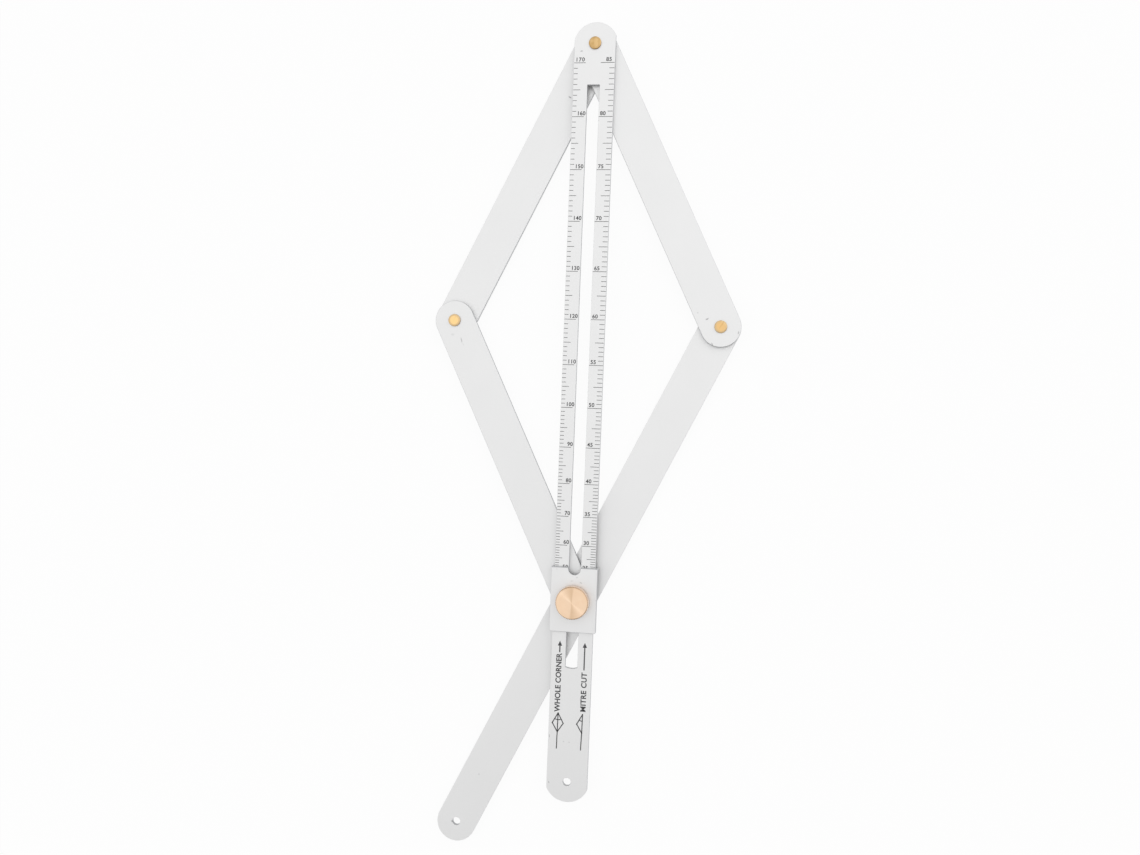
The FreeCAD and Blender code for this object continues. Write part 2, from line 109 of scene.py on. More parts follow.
class NodeKit:
    def __init__(self, tree):
        self.tree = tree
        tree.nodes.clear()

    # any node: its type, its settings or a ramp's stops, then the values or wires of its sockets
    def node(self, kind, settings=None, sockets=None, output=0):
        made = self.tree.nodes.new(kind)
        for key, value in (settings or {}).items():
            if key == "stops":
                self.setStops(made.color_ramp, value)
            else:
                setattr(made, key, value)
        for key, value in (sockets or {}).items():
            if isinstance(value, Wire):
                self.tree.links.new(value.socket, made.inputs[key])
            else:
                made.inputs[key].default_value = value
        return Wire(self, made.outputs[output] if made.outputs else None)

    # where each stop of a ramp is, and how bright
    def setStops(self, band, stops):
        while len(band.elements) < len(stops):
            band.elements.new(1.0)
        for stop, (place, height) in zip(band.elements, stops):
            stop.position = place
            stop.color = (height, height, height, 1.0)

    def maths(self, operation, first, second=0.0):
        return self.node("ShaderNodeMath", {"operation": operation}, {0: first, 1: second})

    def mixTones(self, share, first, second):
        sockets = {0: share, 6: first, 7: second}
        return self.node("ShaderNodeMix", {"data_type": "RGBA"}, sockets, 2)

    # a place on the piece, in millimetres
    def place(self):
        metres = self.node("ShaderNodeTexCoord", output="Object")
        return self.node("ShaderNodeVectorMath", {"operation": "SCALE"}, {0: metres, "Scale": 1 / mm})

    # the same place in a frame of its own: its middle, its turn about Z, and the size that is 1
    def local(self, place, middle=(0, 0, 0), turn=0.0, size=(1, 1, 1)):
        sockets = {"Vector": place, "Location": middle, "Rotation": (0, 0, turn), "Scale": size}
        return self.node("ShaderNodeMapping", {"vector_type": "TEXTURE"}, sockets)

    # a place on the piece, measured from an upright axis
    def fromAxis(self, axis):
        return self.local(self.place(), (axis.x / mm, axis.y / mm, 0))

    def axes(self, place):
        return [self.node("ShaderNodeSeparateXYZ", {}, {0: place}, i) for i in range(3)]

    # for rings about an axis: how far out, and a share of the height
    def ringPlace(self, out, z, share=0.2):
        return self.node("ShaderNodeCombineXYZ", {}, {"X": out, "Y": 0.0, "Z": z * share})

    # 0 on a face that lies flat, 1 on one that stands up
    def steepness(self):
        normal = self.node("ShaderNodeTexCoord", output="Normal")
        return 1 - self.maths("ABSOLUTE", self.axes(normal)[2])

    def noise(self, place, scale, detail=2.0):
        sockets = {"Vector": place, "Scale": scale, "Detail": detail}
        return self.node("ShaderNodeTexNoise", {}, sockets)

    def distance(self, place):
        return self.node("ShaderNodeVectorMath", {"operation": "LENGTH"}, {0: place}, "Value")

    def bump(self, height, depth, strength):
        sockets = {"Height": height, "Distance": depth * mm, "Strength": strength}
        return self.node("ShaderNodeBump", {}, sockets)


def newFinish(name):
    material = bpy.data.materials.new(name)
    material.use_nodes = True
    return material, NodeKit(material.node_tree)


def setSurface(kit, sockets):
    surface = kit.node("ShaderNodeBsdfPrincipled", {}, sockets)
    kit.node("ShaderNodeOutputMaterial", {}, {"Surface": surface})


def dress(name, material):
    for place in nodes[name].material_slots:
        place.material = material


# seams in millimetres, angles in degrees
edges = {"seam": 0.002, "flatWithin": 0.5, "sharpFrom": 35, "segments": 3}


# the seams of the imported mesh are closed, its flat faces joined, then its sharp edges broken
def breakEdges(name, width):
    weld = nodes[name].modifiers.new("closedSeams", "WELD")
    weld.merge_threshold = edges["seam"] * mm
    joined = nodes[name].modifiers.new("flatFaces", "DECIMATE")
    joined.decimate_type = "DISSOLVE"
    joined.angle_limit = math.radians(edges["flatWithin"])
    bevel = nodes[name].modifiers.new("brokenEdges", "BEVEL")
    bevel.width = width * mm
    bevel.segments = edges["segments"]
    bevel.limit_method = "ANGLE"
    bevel.angle_limit = math.radians(edges["sharpFrom"])
    bevel.harden_normals = True


# faces from each ring of points to the next, closed at both ends
def joinRings(shape, rings):
    for lower, upper in zip(rings, rings[1:]):
        for i in range(len(lower)):
            j = (i + 1) % len(lower)
            shape.faces.new((lower[i], lower[j], upper[j], upper[i]))
    shape.faces.new(rings[-1])
    shape.faces.new(rings[0][::-1])


# a turned shape about an upright axis, from its rows of radius and height
def turnShape(rows, axis, count):
    shape = bmesh.new()
    rings = []
    for radius, height in rows:
        ring = []
        for i in range(count):
            turn = 2 * math.pi * i / count
            x = math.cos(turn) * radius * mm + axis.x
            y = math.sin(turn) * radius * mm + axis.y
            ring.append(shape.verts.new((x, y, height * mm)))
        rings.append(ring)
    joinRings(shape, rings)
    return shape


def addPiece(name, shape, material):
    mesh = bpy.data.meshes.new(name)
    shape.to_mesh(mesh)
    shape.free()
    mesh.materials.append(material)
    piece = bpy.data.objects.new(name, mesh)
    bpy.context.scene.collection.objects.link(piece)
    return piece


# the places that the rest is worked out from
pivots = {joint["name"]: Vector(joint["pos_m"]) for joint in frame["joints"] if "pos_m" in joint}
topPivot = pivots["arm_spread"]
rightPivot = pivots["long_arm_swing"]
leftPivot = pivots["lower_left_swing"]
clampAxis = pivots["slider_swivel"]
linkLength = (topPivot - rightPivot).length
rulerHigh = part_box("ruler")[1]
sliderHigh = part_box("slider")[1]


# camera, where the photograph was taken from
shot = {
    "lens": 32.842,
    "sensorWidth": 36,
    "nearest": 0.01,
    "eye": Vector((73.919, 13.462, 506.684)),
    "right": Vector((0.98688, 0.03832, -0.15686)),
    "up": Vector((-0.04002, 0.99917, -0.00769)),
}
lens = bpy.data.cameras.new("camera")
lens.lens = shot["lens"]
lens.sensor_width = shot["sensorWidth"]
lens.clip_start = shot["nearest"]
camera = bpy.data.objects.new("camera", lens)
turned = Matrix((shot["right"], shot["up"], shot["right"].cross(shot["up"]))).transposed()
camera.matrix_world = Matrix.Translation(shot["eye"] * mm) @ turned.to_4x4()
bpy.context.scene.collection.objects.link(camera)
bpy.context.scene.camera = camera
bpy.context.scene.view_settings.view_transform = "Standard"


# light: a pale room, brighter to the upper right, a large soft lamp there and another opposite
room = {
    "level": 1.165,
    "moreToRight": 0.14,
    "moreToTop": 0.22,
    "brightest": 0.1,  # how far towards the top the room is brightest
    "fallOff": 0.85,  # how fast it gets darker away from there
    "horizon": 0.5,  # its brightness at the foot, against overhead
    "rise": 1.7,  # how soon it is as bright as overhead
    "key": {"place": (0.52, 0.70, 0.58), "size": 0.9, "power": 0.7},
    "fill": {"place": (-0.75, -0.45, 0.60), "size": 0.9, "power": 0.7},
}


def addLamp(name, look):
    lamp = bpy.data.lights.new(name, "AREA")
    lamp.size = look["size"]
    lamp.energy = look["power"]
    holder = bpy.data.objects.new(name, lamp)
    holder.location = look["place"]
    holder.rotation_euler = (-holder.location).to_track_quat("-Z", "Y").to_euler()
    bpy.context.scene.collection.objects.link(holder)


addLamp("keyLamp", room["key"])
addLamp("fillLamp", room["fill"])

world = bpy.data.worlds.new("paleRoom")
world.use_nodes = True
bpy.context.scene.world = world
kit = NodeKit(world.node_tree)
right, top, up = kit.axes(kit.node("ShaderNodeTexCoord", output="Generated"))
overhead = (up * room["rise"]).clipped() * (1 - room["horizon"]) + room["horizon"]
lean = top - room["brightest"]
glow = room["level"] + right * room["moreToRight"] + top * room["moreToTop"]
glow = (glow - lean * lean * room["fallOff"]) * overhead
seen = kit.node("ShaderNodeLightPath", output="Is Camera Ray")
strength = seen + (1 - seen) * glow
background = kit.node("ShaderNodeBackground", {}, {"Color": (1, 1, 1, 1), "Strength": strength})
kit.node("ShaderNodeOutputWorld", {}, {"Surface": background})


# floor: pale, nearly white to the camera and partly so in reflections, with the object's shadow
floor = {
    "half": 3.0,
    "drop": 0.05,
    "tone": tone(236, 236, 236),
    "whiteShare": 0.93,
    "mirroredShare": 0.6,
}


def layFloor():
    shape = bmesh.new()
    reach = floor["half"]
    corners = [(-reach, -reach), (reach, -reach), (reach, reach), (-reach, reach)]
    shape.faces.new([shape.verts.new((x, y, -floor["drop"] * mm)) for x, y in corners])
    material, kit = newFinish("paleFloor")
    matt = kit.node("ShaderNodeBsdfDiffuse", {}, {"Color": floor["tone"]})
    white = kit.node("ShaderNodeEmission", {}, {"Color": (1, 1, 1, 1), "Strength": 1.0})
    seen = kit.node("ShaderNodeLightPath", output="Is Camera Ray")
    mirrored = kit.node("ShaderNodeLightPath", output="Is Glossy Ray")
    share = seen * floor["whiteShare"] + (1 - seen) * mirrored * floor["mirroredShare"]
    surface = kit.node("ShaderNodeMixShader", {}, {0: share, 1: matt, 2: white})
    kit.node("ShaderNodeOutputMaterial", {}, {"Surface": surface})
    addPiece("floor", shape, material)


layFloor()
print("camera, light and floor set")


# aluminium bars: satin rolled sheet, fine grain along each bar, its own knocks, and painted shade on
# the walls
# a knock is x, y, length, width, turn and how dark it is
bars = {
    "tone": tone(226, 226, 226),
    "lightTone": tone(234, 234, 234),
    "darkTone": tone(120, 120, 122),
    "wallShadeTone": tone(196, 197, 199),  # painted shade: the cut edges are darker in colour than the rolled faces
    "roughness": 0.45,
    "metal": 0.72,
    "edge": 0.3,
    "grain": {"scale": 9.0, "stretch": 60, "height": 0.35},
    "cloudScale": 0.05,
    "speckle": {"scale": 2.4, "height": 0.2},
    "unevenness": 0.05,
    "toneChange": 4.0,
    "roughChange": 1.2,
    "strokes": {"scale": 3.0, "stretch": 0.15, "height": 2.0, "shade": 0.4},
    # painted shade on the walls: how fast it comes in as a face stands up, and how much of it there is
    "sawnAndShaded": {"slope": 2.5, "share": 0.7},
    "knock": {"ragged": 1.6, "reach": 1.15, "slope": 1.6, "thickness": 0.4, "dent": 6.0, "rough": 0.2},
    "bumpDepth": 0.01,
    "bumpStrength": 0.6,
    "ruler": {
        "turn": 90.0,
        "knocks": [
            (-6.5, 188.5, 1.6, 0.6, 10, 0.5),
            (-9.4, -144.4, 0.5, 1.8, 0, 0.4),
            (-8.9, -167.0, 0.6, 1.2, 30, 0.4),
            (3.1, 155.0, 0.6, 0.6, 0, 0.3),
            (-2.4, -146.5, 0.9, 0.8, 0, 0.2),
            (0.4, -146.7, 1.0, 0.8, 0, 0.2),
        ],
    },
    "upper_right_arm": {
        "turn": -60.0,
        "knocks": [
            (54.2, 63.7, 0.8, 0.8, 0, 0.25),
            (58.8, 60.8, 1.8, 0.7, 25, 0.6),
            (61.6, 48.9, 0.5, 1.6, 20, 0.6),
            (73.8, 54.6, 0.6, 1.8, -10, 0.4),
        ],
    },
    "upper_left_arm": {"turn": 60.0, "knocks": [(-12.0, 167.6, 1.9, 0.7, -30, 0.6)]},
    "lower_left_arm": {
        "turn": -60.0,
        "knocks": [
            (-61.5, 47.5, 0.6, 2.8, 15, 0.4),
            (-66.2, 50.2, 2.0, 1.2, 0, 0.12),
            (-60.6, 45.4, 0.5, 1.4, 20, 0.15),
        ],
    },
    "long_arm": {
        "turn": 60.0,
        "knocks": [
            (-45.0, -168.0, 1.0, 1.0, 0, 0.2),
            (-57.9, -192.8, 0.7, 1.2, 0, 0.6),
        ],
    },
    "slider": {
        "turn": 90.0,
        "knocks": [
            (11.0, -76.6, 0.6, 1.0, 0, 0.15),
            (1.4, -66.0, 1.2, 0.7, 20, 0.2),
            (3.4, -68.4, 1.5, 0.8, -30, 0.25),
            (-1.0, -67.8, 1.6, 0.6, 10, 0.2),
            (-8.6, -62.4, 0.8, 0.5, 0, 0.2),
        ],
    },
}


def satinAluminium(name):
    look, knock = bars[name], bars["knock"]
    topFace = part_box(name)[1].z / mm
    material, kit = newFinish(name + "Satin")
    place = kit.place()
    stretch = (bars["grain"]["stretch"], 1, 1)
    alongBar = kit.local(place, turn=math.radians(look["turn"]), size=stretch)
    grain = kit.noise(alongBar, bars["grain"]["scale"], 3.0)
    cloud = kit.noise(place, bars["cloudScale"], 3.0)
    speckle = kit.noise(place, bars["speckle"]["scale"], 2.0)
    worn = 0.0
    for x, y, length, width, turn, depth in look["knocks"]:
        size = (length / 2, width / 2, knock["thickness"])
        knockPlace = kit.local(place, (x, y, topFace), math.radians(turn), size)
        ragged = kit.distance(knockPlace) + speckle.swing(knock["ragged"])
        worn = ((knock["reach"] - ragged) * knock["slope"]).clipped() * depth + worn
    shine = cloud.swing(bars["unevenness"]) + grain.swing(bars["unevenness"])
    lighter = (0.5 + shine * bars["toneChange"]).clipped()
    sheet = kit.mixTones(lighter, bars["tone"], bars["lightTone"])
    # the strokes of the cut run up the edges
    x, y, z = kit.axes(place)
    upright = {"X": x, "Y": y, "Z": z * bars["strokes"]["stretch"]}
    strokes = kit.noise(kit.node("ShaderNodeCombineXYZ", {}, upright), bars["strokes"]["scale"], 3.0)
    # painted shade: the standing walls take the darker tone, patchy with the strokes of the cut
    shade = bars["sawnAndShaded"]["share"] + strokes * bars["strokes"]["shade"]
    sawnAndShaded = (kit.steepness() * bars["sawnAndShaded"]["slope"]).clipped() * shade
    sheetWithWallShade = kit.mixTones(sawnAndShaded, sheet, bars["wallShadeTone"])
    height = grain * bars["grain"]["height"] + speckle * bars["speckle"]["height"]
    height = height + sawnAndShaded * strokes * bars["strokes"]["height"] - worn * knock["dent"]
    setSurface(kit, {
        "Base Color": kit.mixTones(worn, sheetWithWallShade, bars["darkTone"]),
        "Metallic": bars["metal"],
        "Roughness": bars["roughness"] - shine * bars["roughChange"] + worn * knock["rough"],
        "Normal": kit.bump(height, bars["bumpDepth"], bars["bumpStrength"]),
    })
    return material


for name in ("ruler", "upper_right_arm", "upper_left_arm", "lower_left_arm", "long_arm", "slider"):
    dress(name, satinAluminium(name))
    breakEdges(name, bars["edge"])
print("aluminium bars and slider finished")


# rivets: brass, a crowned head polished by handling, and a tail peened over its washer, with painted
# shade darkening the standing sides of the head
brass = {
    "rimTone": tone(224, 194, 146),
    # painted shade: the standing sides of the brass are dark brown in colour
    "paintedSideShadingTone": tone(138, 102, 58),
    "smearTone": tone(196, 160, 104),
    "roughness": 0.36,
    "rim": {"slope": 3.0, "rough": 0.1},
    "smear": {"scale": 1.3, "stretch": 5, "amount": 1.6},
    "fine": {"scale": 5.0, "stretch": 6, "amount": 0.6, "rough": 0.2},
    # where the painted shade starts as a face stands up, and how fast it comes in
    "side": {"from": 0.3, "slope": 2.0},
    "speckleScale": 6.0,
    "bumpDepth": 0.02,
    "bumpStrength": 0.5,
    "segments": 96,
    "shankRadius": 2.0,
    "tailRadius": 2.5,
    "tailRows": [(0.9, 0.03), (0.45, 0), (0.12, 0.12), (0, 0.42), (0.05, 1.0)],  # inward, upward
    "headHeight": 0.8,
    "underEdge": (0.03, 0.05),  # inward, upward
    "corner": 0.12,
    "cornerCut": 0.3,
    "crownDrop": 0.16,
    "crownBow": 0.36,
    "flatRadius": 2.05,
    "flatRows": [(0.1, 0.02), (-0.15, 0)],  # outward, downward
    # each rivet has its own hue: its tone, how much of it is smeared dark, and its strokes' turn
    "rivets": {
        "top_rivet": {
            "body": "ruler",
            "pivot": topPivot,
            "tone": tone(236, 204, 152),
            "dark": 0.64,
            "strokes": 84,
        },
        "right_rivet": {
            "body": "upper_right_arm",
            "pivot": rightPivot,
            "tone": tone(229, 190, 132),
            "dark": 0.05,
            "strokes": 60,
        },
        "left_rivet": {
            "body": "upper_left_arm",
            "pivot": leftPivot,
            "tone": tone(250, 211, 148),
            "dark": -0.2,
            "strokes": 70,
        },
    },
    # the brass that keeps its plain shape
    "plainNames": ("top_burr_washer", "right_burr_washer", "left_burr_washer", "guide_bush"),
    "plain": {"tone": tone(240, 206, 146), "dark": 0.3, "strokes": 75},
}


def rivetBrass(name, axis, look):
    smearLook, fineLook = brass["smear"], brass["fine"]
    material, kit = newFinish(name + "Brass")
    place = kit.fromAxis(axis)
    x, y = kit.axes(place)[:2]
    radius = (x * x + y * y) ** 0.5
    rim = ((radius - brass["flatRadius"]) * brass["rim"]["slope"] + 0.5).clipped()
    turn = math.radians(look["strokes"])
    smearPlace = kit.local(place, turn=turn, size=(smearLook["stretch"], 1, 1))
    finePlace = kit.local(place, turn=turn, size=(fineLook["stretch"], 1, 1))
    smear = kit.noise(smearPlace, smearLook["scale"], 2.0)
    fine = kit.noise(finePlace, fineLook["scale"], 3.0)
    stained = smear.swing(smearLook["amount"]) + fine.swing(fineLook["amount"]) + look["dark"]
    clean = kit.mixTones(rim, look["tone"], brass["rimTone"])
    face = kit.mixTones(stained.clipped(), clean, brass["smearTone"])
    # painted shade: the standing sides take the dark brown tone
    paintedSideShading = kit.steepness().past(brass["side"]["from"], brass["side"]["slope"])
    rough = brass["roughness"] + rim * brass["rim"]["rough"] + fine.swing(fineLook["rough"])
    height = fine + kit.noise(place, brass["speckleScale"])
    setSurface(kit, {
        "Base Color": kit.mixTones(paintedSideShading, face, brass["paintedSideShadingTone"]),
        "Metallic": 1.0,
        "Roughness": rough,
        "Normal": kit.bump(height, brass["bumpDepth"], brass["bumpStrength"]),
    })
    return material


def setRivet(name, look):
    low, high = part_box(name)
    reach, foot, head = (high.x - low.x) / 2 / mm, low.z / mm, high.z / mm
    underHead = head - brass["headHeight"]
    shoulder = head - brass["crownDrop"]
    inward, upward = brass["underEdge"]
    corner, flat = brass["corner"], brass["flatRadius"]
    cut = corner * brass["cornerCut"]
    # from the tail's foot, up the shank and over the crown to its flat
    rows = [(brass["tailRadius"] - inside, foot + above) for inside, above in brass["tailRows"]]
    rows += [
        (brass["shankRadius"], rows[-1][1]),
        (brass["shankRadius"], underHead),
        (reach - inward, underHead),
        (reach, underHead + upward),
        (reach, shoulder - corner),
        (reach - cut, shoulder - cut),
        (reach - corner, shoulder),
        ((reach + flat) / 2, head - brass["crownDrop"] * brass["crownBow"]),
    ]
    rows += [(flat + outside, head - below) for outside, below in brass["flatRows"]]
    shape = turnShape(rows, look["pivot"], brass["segments"])
    piece = addPiece(name + "_turned", shape, rivetBrass(name, look["pivot"], look))
    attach(piece, look["body"])
    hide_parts(name)


for name, look in brass["rivets"].items():
    setRivet(name, look)
for name in brass["plainNames"]:
    low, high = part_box(name)
    dress(name, rivetBrass(name, (low + high) / 2, brass["plain"]))
print("rivets set")


# knob: turned brass, knurled round its side, its end face left in the fine rings of the cut, with a
# painted sheen fanned across that face, painted shade on its broken edge and painted light on the
# knurled side
knob = {
    # painted sheen: the end face's colour runs from the dark tone to the bright ones by the angle
    # about the axis
    "darkTone": tone(222, 190, 157),
    "tone": tone(254, 231, 205),
    "warmTone": tone(246, 207, 172),
    # painted shade: the broken edge round the end face is darker in colour
    "rimTone": tone(206, 168, 128),
    # painted light: the knurled side is lighter in colour
    "paintedSideShadingTone": tone(244, 222, 204),
    "roughness": 0.32,
    "roughChange": 0.1,
    "ringScale": 5.0,
    "bandScale": 1.1,
    "smudgeScale": 0.35,
    "warmShare": 0.5,  # of the bands, and of the smudges
    "warmLess": 0.1,
    "rim": {"width": 0.6, "slope": 3.0, "share": 0.7},
    "side": {"from": 0.75, "slope": 5.0},
    "bumpDepth": 0.004,
    "knurls": 60,
    "knurlShare": 0.72,
    "knurlDepth": 0.25,
    "edge": 0.5,
    "footEdge": 0.15,
    "lipWidth": 0.06,
    "lipDrop": 0.02,
    "boreRadius": 2.05,
    "boreRoof": 1.3,
    "ringsInside": 0.2,  # how far inside the broken edge the rings start
    "ringPitch": 0.14,
    "ringDepth": 0.03,
    "ringSeed": 7,
    # painted sheen: the turned face fans the light out, so its colour is lighter and darker by the
    # angle about the axis: share of half a turn from +X, and how bright
    "paintedSheen": [
        (0.0, 0.6),
        (0.45, 0.6),
        (0.5, 0.02),
        (0.55, 0.12),
        (0.66, 0.5),
        (0.775, 1.0),
        (0.87, 0.62),
        (1.0, 0.6),
    ],
}


def turnedBrass(radius):
    material, kit = newFinish("turnedBrass")
    x, y, z = kit.axes(kit.fromAxis(clampAxis))
    out = (x * x + y * y) ** 0.5
    ringPlace = kit.ringPlace(out, z)
    rings = kit.noise(ringPlace, knob["ringScale"])
    band = kit.noise(ringPlace, knob["bandScale"], 1.0)
    smudge = kit.noise(kit.place(), knob["smudgeScale"], 3.0)
    # painted shade: darker towards the broken edge round the end face
    rim = ((out - radius + knob["rim"]["width"]) * knob["rim"]["slope"]).clipped()
    # painted light: the standing knurled side takes the lighter tone
    paintedSideShading = kit.steepness().past(knob["side"]["from"], knob["side"]["slope"])
    # painted sheen: lighter and darker by the angle about the knob's axis, fixed to the knob
    halfTurns = kit.maths("FRACT", y.angleFrom(x) / math.pi + 1.0)
    paintedSheen = kit.node("ShaderNodeValToRGB", {"stops": knob["paintedSheen"]}, {"Fac": halfTurns})
    warm = band * knob["warmShare"] + smudge * knob["warmShare"] - knob["warmLess"]
    bright = kit.mixTones(warm.clipped(), knob["tone"], knob["warmTone"])
    sheenPaintedFace = kit.mixTones(paintedSheen, knob["darkTone"], bright)
    face = kit.mixTones(rim * knob["rim"]["share"], sheenPaintedFace, knob["rimTone"])
    uneven = knob["roughness"] + rings.swing(knob["roughChange"])
    setSurface(kit, {
        "Base Color": kit.mixTones(paintedSideShading, face, knob["paintedSideShadingTone"]),
        "Metallic": 1.0,
        "Roughness": uneven + smudge.swing(knob["roughChange"]),
        "Normal": kit.bump(rings, knob["bumpDepth"], 1.0),
    })
    return material


def turnKnob():
    low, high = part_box("clamp_knob")
    radius, foot, head = (high.x - low.x) / 2 / mm, low.z / mm, high.z / mm
    valley, edge = knob["knurlDepth"], knob["edge"]
    # radius, height and how deep the knurling is, from the bore's roof round to the centre
    rows = [
        (knob["boreRadius"], head - knob["boreRoof"], 0),
        (knob["boreRadius"], foot, 0),
        (radius - valley - knob["footEdge"], foot, 0),
        (radius, foot + knob["footEdge"], valley),
        (radius, head - edge, valley),
        (radius - edge, head - knob["lipDrop"], 0),
        (radius - edge - knob["lipWidth"], head, 0),
    ]
    cut = random.Random(knob["ringSeed"])
    turned = radius - edge - knob["ringsInside"]
    for i in range(int(turned / knob["ringPitch"])):
        rows.append((turned - i * knob["ringPitch"], head - cut.random() * knob["ringDepth"], 0))
    pitch = 2 * math.pi / knob["knurls"]
    land = 1 - knob["knurlShare"]
    # the points of one knurl: the share of its pitch, and of the valley's depth
    steps = ((0.0, 0), (land, 0), (land + knob["knurlShare"] / 2, 1))
    middle = Vector((clampAxis.x, clampAxis.y, 0))
    shape = bmesh.new()
    rings = []
    for r, z, depth in rows:
        ring = []
        for i in range(knob["knurls"]):
            for share, valleyHere in steps:
                turn = (i + share) * pitch
                reach = r - depth * valleyHere
                spot = Vector((math.cos(turn) * reach, math.sin(turn) * reach, z))
                ring.append(shape.verts.new(spot * mm + middle))
        rings.append(ring)
    joinRings(shape, rings)
    piece = addPiece("turned_knob", shape, turnedBrass(radius))
    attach(piece, "clamp_knob")
    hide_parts("clamp_knob")


turnKnob()
print("knob turned")


# steel fasteners, turned bright, and milky nylon washers
steel = {
    "tone": tone(205, 206, 208),
    "darkTone": tone(168, 169, 172),
    "roughness": 0.3,
    "roughChange": 0.2,
    "ringScale": 6.0,
    "bumpDepth": 0.01,
    "bumpStrength": 0.7,
}
nylon = {
    "tone": tone(232, 231, 226),
    "warmTone": tone(222, 219, 208),
    "roughness": 0.55,
    "roughChange": 0.2,
    "cloudScale": 0.8,
    "bumpDepth": 0.02,
    "bumpStrength": 0.5,
}


def brightSteel(name):
    low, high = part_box(name)
    material, kit = newFinish(name + "Steel")
    x, y, z = kit.axes(kit.fromAxis((low + high) / 2))
    rings = kit.noise(kit.ringPlace((x * x + y * y) ** 0.5, z), steel["ringScale"])
    setSurface(kit, {
        "Base Color": kit.mixTones(rings, steel["tone"], steel["darkTone"]),
        "Metallic": 1.0,
        "Roughness": steel["roughness"] + rings.swing(steel["roughChange"]),
        "Normal": kit.bump(rings, steel["bumpDepth"], steel["bumpStrength"]),
    })
    return material


def milkyNylon():
    material, kit = newFinish("milkyNylon")
    cloud = kit.noise(kit.place(), nylon["cloudScale"], 3.0)
    setSurface(kit, {
        "Base Color": kit.mixTones(cloud, nylon["tone"], nylon["warmTone"]),
        "Roughness": nylon["roughness"] + cloud.swing(nylon["roughChange"]),
        "Normal": kit.bump(cloud, nylon["bumpDepth"], nylon["bumpStrength"]),
    })
    return material


for name in ("clamp_screw", "back_washer", "knob_washer"):
    dress(name, brightSteel(name))
washerNylon = milkyNylon()
for name in nodes:
    if name.endswith("_spacer"):
        dress(name, washerNylon)
print("fasteners and washers finished")


# printed scales: ink a few hundredths of a millimetre proud, its marks placed by the linkage
ink = {
    "tone": tone(58, 58, 60),
    "thinTone": tone(98, 98, 100),
    "roughness": 0.5,
    "wear": {"scale": 1.6, "from": 0.42, "slope": 2.5, "rough": 0.2},
    "bumpDepth": 0.01,
    "bumpStrength": 0.5,
    "foot": 0.03,  # how far the film goes down into the ruler
    "proud": 0.025,
    "edgeGap": 0.15,
    "lineWidth": 0.24,
    "angles": range(170, 49, -1),
    "printHigh": 0.2,  # all marks sit this much above the linkage's own places
    "left": {
        "side": -1,
        "lengths": (2.05, 3.6, 5.8),
        "digitsEnd": -3.4,
        "align": "RIGHT",
        "first": (-4.7, 1.2),
    },
    "right": {
        "side": 1,
        "lengths": (2.6, 4.4, 6.9),
        "digitsEnd": 3.7,
        "align": "LEFT",
        "first": (8.5, 1.1),
    },
    "digitHeight": 1.9,
    "digitLift": 0.7,
    "boldness": 0.024,
    "wordBoldness": 0.028,
    "spacing": 1.06,
    "curveSteps": 4,
    "capShare": 0.714,  # the height of a capital in the built-in font, against its size
}


def printedInk():
    wearLook = ink["wear"]
    material, kit = newFinish("printedInk")
    wear = kit.noise(kit.place(), wearLook["scale"], 4.0)
    patchy = wear.past(wearLook["from"], wearLook["slope"])
    setSurface(kit, {
        "Base Color": kit.mixTones(patchy, ink["tone"], ink["thinTone"]),
        "Roughness": ink["roughness"] + wear * wearLook["rough"],
        "Normal": kit.bump(wear, ink["bumpDepth"], ink["bumpStrength"]),
    })
    return material


inkFinish = printedInk()


class Print:
    def __init__(self, name):
        self.name = name
        self.shape = bmesh.new()

    # a closed outline in millimetres, counter-clockwise, as a thin raised film
    def film(self, outline):
        foot = rulerHigh.z - ink["foot"] * mm
        head = rulerHigh.z + ink["proud"] * mm
        lower = [self.shape.verts.new((x * mm, y * mm, foot)) for x, y in outline]
        upper = [self.shape.verts.new((x * mm, y * mm, head)) for x, y in outline]
        joinRings(self.shape, [lower, upper])

    # a straight stroke with square ends
    def stroke(self, start, end, width):
        start, end = Vector(start), Vector(end)
        along = (end - start).normalized()
        across = Vector((-along.y, along.x)) * width / 2
        self.film([start - across, end - across, end + across, start + across])

    # strokes from point to point, each run on by half its width so that the corners meet
    def path(self, points, width):
        for start, end in zip(points, points[1:]):
            run = (Vector(end) - Vector(start)).normalized() * width / 2
            self.stroke(Vector(start) - run, Vector(end) + run, width)

    # words or digits beside a point, or about it, with capitals of this height
    def letters(self, text, height, point, align, turn, spacing, boldness):
        curve = bpy.data.curves.new("letters", "FONT")
        curve.body = text
        curve.align_x = align
        curve.space_character = spacing
        curve.offset = boldness
        curve.extrude = (ink["foot"] + ink["proud"]) / 2
        curve.resolution_u = ink["curveSteps"]
        holder = bpy.data.objects.new("letters", curve)
        outline = bpy.data.meshes.new_from_object(holder)
        size = height / ink["capShare"]
        level = rulerHigh.z + (ink["proud"] - ink["foot"]) / 2 * mm
        scaled = Matrix.Diagonal((size * mm, size * mm, mm, 1))
        centred = Matrix.Translation((0, -ink["capShare"] / 2, 0))
        turned = Matrix.Rotation(math.radians(turn), 4, "Z")
        placed = Matrix.Translation((point[0] * mm, point[1] * mm, level))
        outline.transform(placed @ turned @ scaled @ centred)
        self.shape.from_mesh(outline)
        bpy.data.objects.remove(holder)
        bpy.data.curves.remove(curve)
        bpy.data.meshes.remove(outline)

    def finish(self):
        piece = addPiece(self.name, self.shape, inkFinish)
        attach(piece, "ruler")


# how far the slider's reading edge is ahead of the clamp
edgeAhead = sliderHigh.y - clampAxis.y


# where the reading edge stands on the ruler when the arms hold this angle between them
def markPlace(angle):
    clampBelow = 2 * linkLength * math.cos(math.radians(angle / 2))
    return (topPivot.y - clampBelow + edgeAhead) / mm + ink["printHigh"]


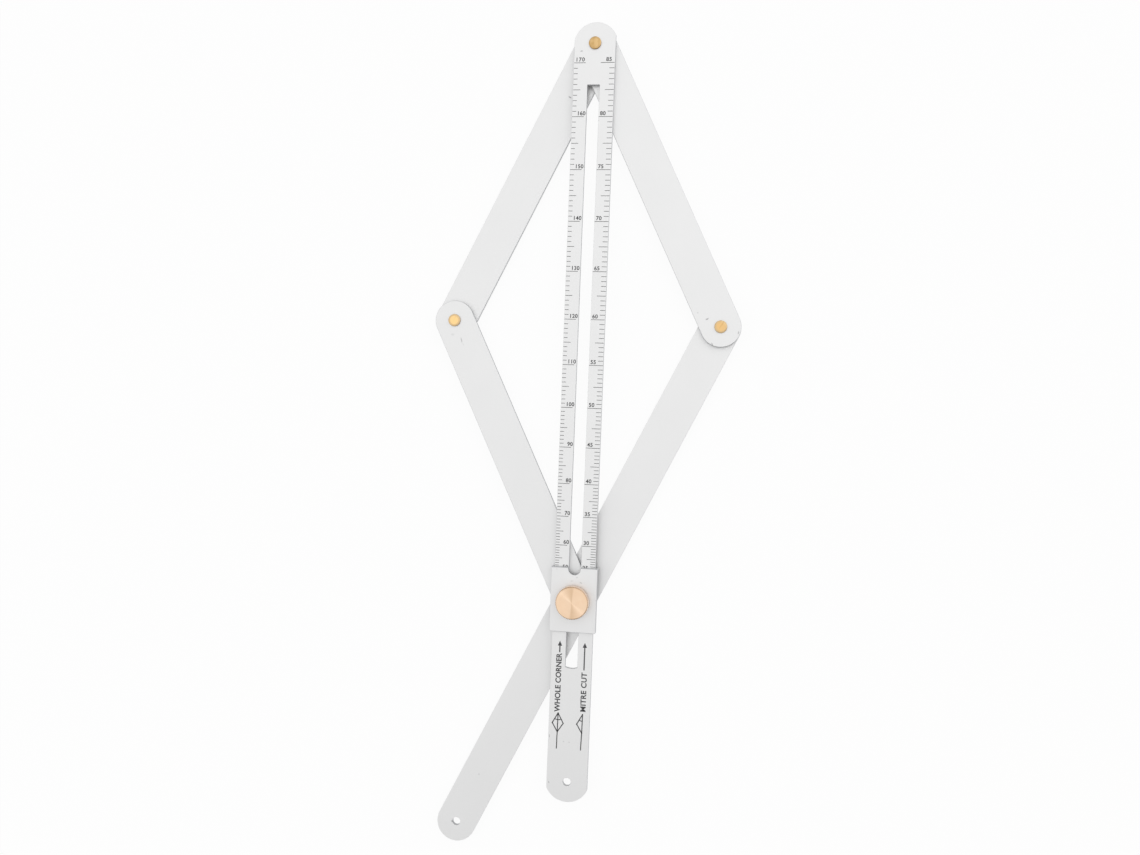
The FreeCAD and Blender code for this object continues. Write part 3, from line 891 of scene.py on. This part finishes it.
def printScale(name, look, share):
    lines = Print(name + "_lines")
    digits = Print(name + "_numbers")
    side = look["side"]
    edge = side * (rulerHigh.x / mm - ink["edgeGap"])
    short, middle, long = look["lengths"]
    for angle in ink["angles"]:
        y = markPlace(angle)
        length = long if angle % 10 == 0 else middle if angle % 5 == 0 else short
        ends = sorted((edge, side * (rulerHigh.x / mm - length)))
        lines.stroke((ends[0], y), (ends[1], y), ink["lineWidth"])
        if angle % 10 == 0:
            x, align, spacing = look["digitsEnd"], look["align"], ink["spacing"]
            if angle == ink["angles"][0]:  # the first number of each scale ends in its own place
                (x, spacing), align = look["first"], "RIGHT"
            point = (x, y + ink["digitLift"] + ink["digitHeight"] / 2)
            number = f"{angle * share:.0f}"
            digits.letters(number, ink["digitHeight"], point, align, 0, spacing, ink["boldness"])
    lines.finish()
    digits.finish()


printScale("corner_scale", ink["left"], 1.0)
printScale("mitre_scale", ink["right"], 0.5)


# the two column headings below the slider: arrow, words, and the linkage drawn small
headings = {
    "strokeWidth": 0.5,
    "arrowWidth": 0.6,
    "arrowOverlap": 0.1,
    "headLength": 2.4,
    "headWidth": 2.2,
    "capHeight": 2.6,
    "iconShoulder": 4.9,
    "iconLength": 9.2,
    "iconHalfWidth": 2.7,
    "iconSlant": 0.1,
    "arcRadius": 3.3,
    "arcWidth": 0.4,
    # sides are the halves of the small linkage that are drawn, and arc the points of its angle mark
    "corner": {
        "x": -5.9,
        "tip": -97.5,
        "tail": -103.1,
        "words": "WHOLE CORNER",
        "wordMiddle": (-6.2, -117.9),
        "spacing": 0.99,
        "icon": (-5.55, -132.8),
        "footOfStem": (-5.75, -150.0),
        "sides": (-1, 1),
        "arc": (-1, -0.5, 0, 0.5, 1),
    },
    "mitre": {
        "x": 6.35,
        "tip": -97.7,
        "tail": -111.1,
        "words": "MITRE CUT",
        "wordMiddle": (6.5, -121.8),
        "spacing": 1.06,
        "icon": (6.5, -132.6),
        "footOfStem": (6.15, -149.9),
        "sides": (-1,),
        "arc": (-1, -0.5, 0),
    },
}


def printHeading(name, look):
    shape = Print(name)
    x, tip = look["x"], look["tip"]
    half = headings["headWidth"] / 2
    neck = tip - headings["headLength"]
    shape.film([(x, tip), (x - half, neck), (x + half, neck)])
    shape.stroke((x, look["tail"]), (x, neck + headings["arrowOverlap"]), headings["arrowWidth"])
    shape.letters(look["words"], headings["capHeight"], look["wordMiddle"], "CENTER", 90,
                  look["spacing"], ink["wordBoldness"])
    apexX, apexY = look["icon"]
    shoulder = apexY - headings["iconShoulder"]
    bottom = (apexX - headings["iconSlant"], apexY - headings["iconLength"])
    for side in look["sides"]:
        corner = (apexX + side * headings["iconHalfWidth"], shoulder)
        shape.path([(apexX, apexY), corner, bottom], headings["strokeWidth"])
    shape.path([(apexX, apexY), bottom], headings["strokeWidth"])
    shape.path([bottom, look["footOfStem"]], headings["strokeWidth"])
    spread = math.atan2(headings["iconHalfWidth"], headings["iconShoulder"])
    radius = headings["arcRadius"]
    turns = [spread * share for share in look["arc"]]
    arc = [(apexX + math.sin(turn) * radius, apexY - math.cos(turn) * radius) for turn in turns]
    shape.path(arc, headings["arcWidth"])
    shape.finish()


printHeading("corner_heading", headings["corner"])
printHeading("mitre_heading", headings["mitre"])
print("scales printed")
